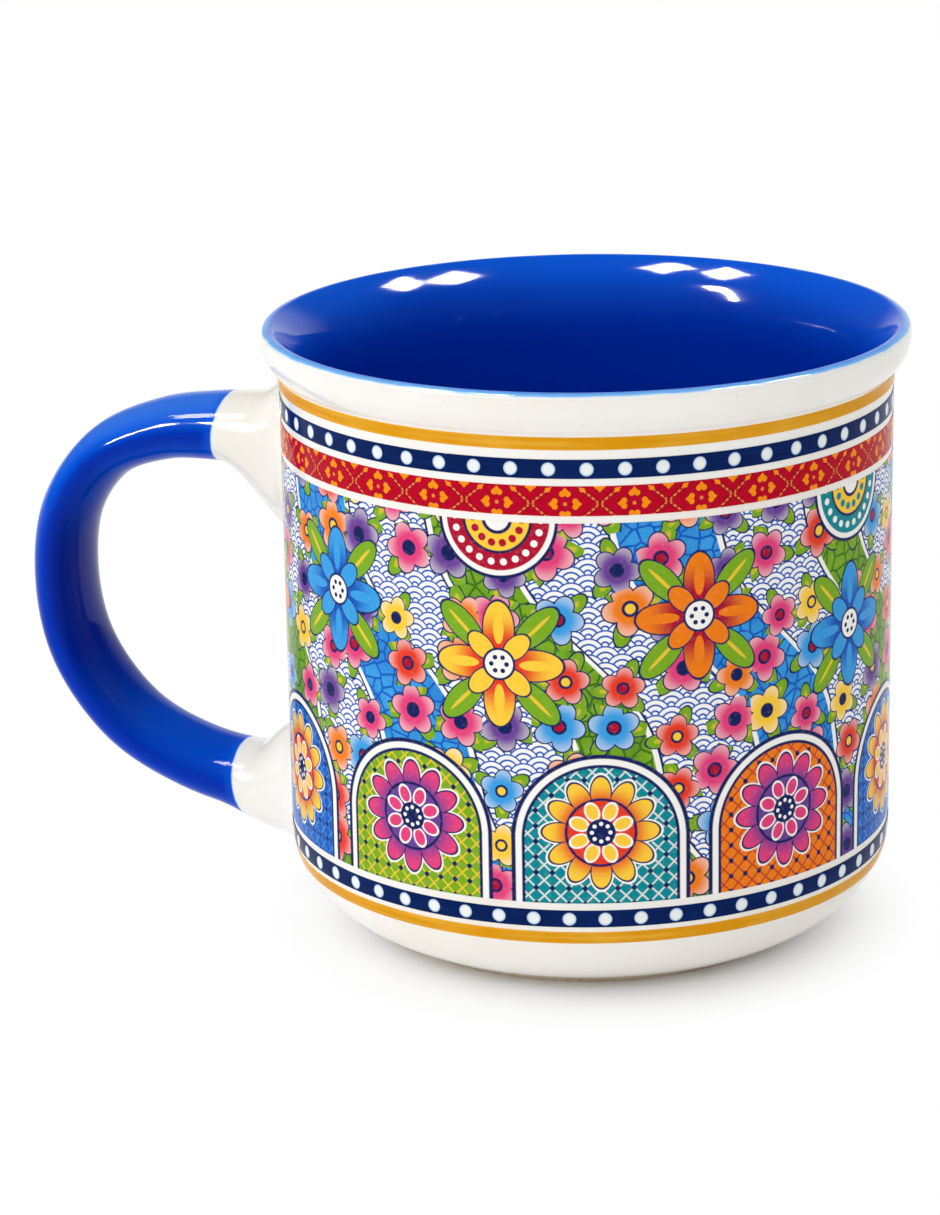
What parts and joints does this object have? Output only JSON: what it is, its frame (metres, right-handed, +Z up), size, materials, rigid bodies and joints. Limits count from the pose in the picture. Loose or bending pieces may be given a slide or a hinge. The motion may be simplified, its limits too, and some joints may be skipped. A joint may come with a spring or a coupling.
{
  "type": "mug",
  "caption": "Straight-sided glazed mug with a rolled lip, a rounded bottom on a foot ring, a loop handle with flared roots, a coloured lining and printed bands round the wall.",
  "frame": {"origin": "middle of the whole mug's box, handle included, on the plane it stands on", "axes": "+X from the handle towards the far side of the cup, +Y across the handle, +Z up through the mouth"},
  "size_m": [0.1358, 0.095, 0.0916],
  "materials": {
    "clay": "bare fired clay, matt",
    "cream_glaze": "glossy warm white glaze",
    "blue_glaze": "glossy royal blue glaze, lighter where it runs thin",
    "gold_enamel": "ochre yellow fired enamel, satin gloss",
    "navy_enamel": "navy fired transfer with a row of white dots, gloss",
    "red_enamel": "red fired transfer with a yellow diamond lattice, gloss",
    "picture_enamel": "many-coloured fired transfer of flowers and tiles, gloss"
  },
  "bodies": {
    "root": {"clay_body": "clay", "outer_glaze": "cream_glaze", "liner_glaze": "blue_glaze", "base_glaze": "cream_glaze", "handle_clay": "clay", "upper_slip_joint": "clay", "lower_slip_joint": "clay", "upper_root_glaze": "cream_glaze", "lower_root_glaze": "cream_glaze", "grip_glaze": "blue_glaze", "upper_gold_line": "gold_enamel", "upper_dotted_band": "navy_enamel", "lattice_band": "red_enamel", "picture_wrap": "picture_enamel", "lower_dotted_band": "navy_enamel", "lower_gold_line": "gold_enamel"}
  },
  "joints": []
}
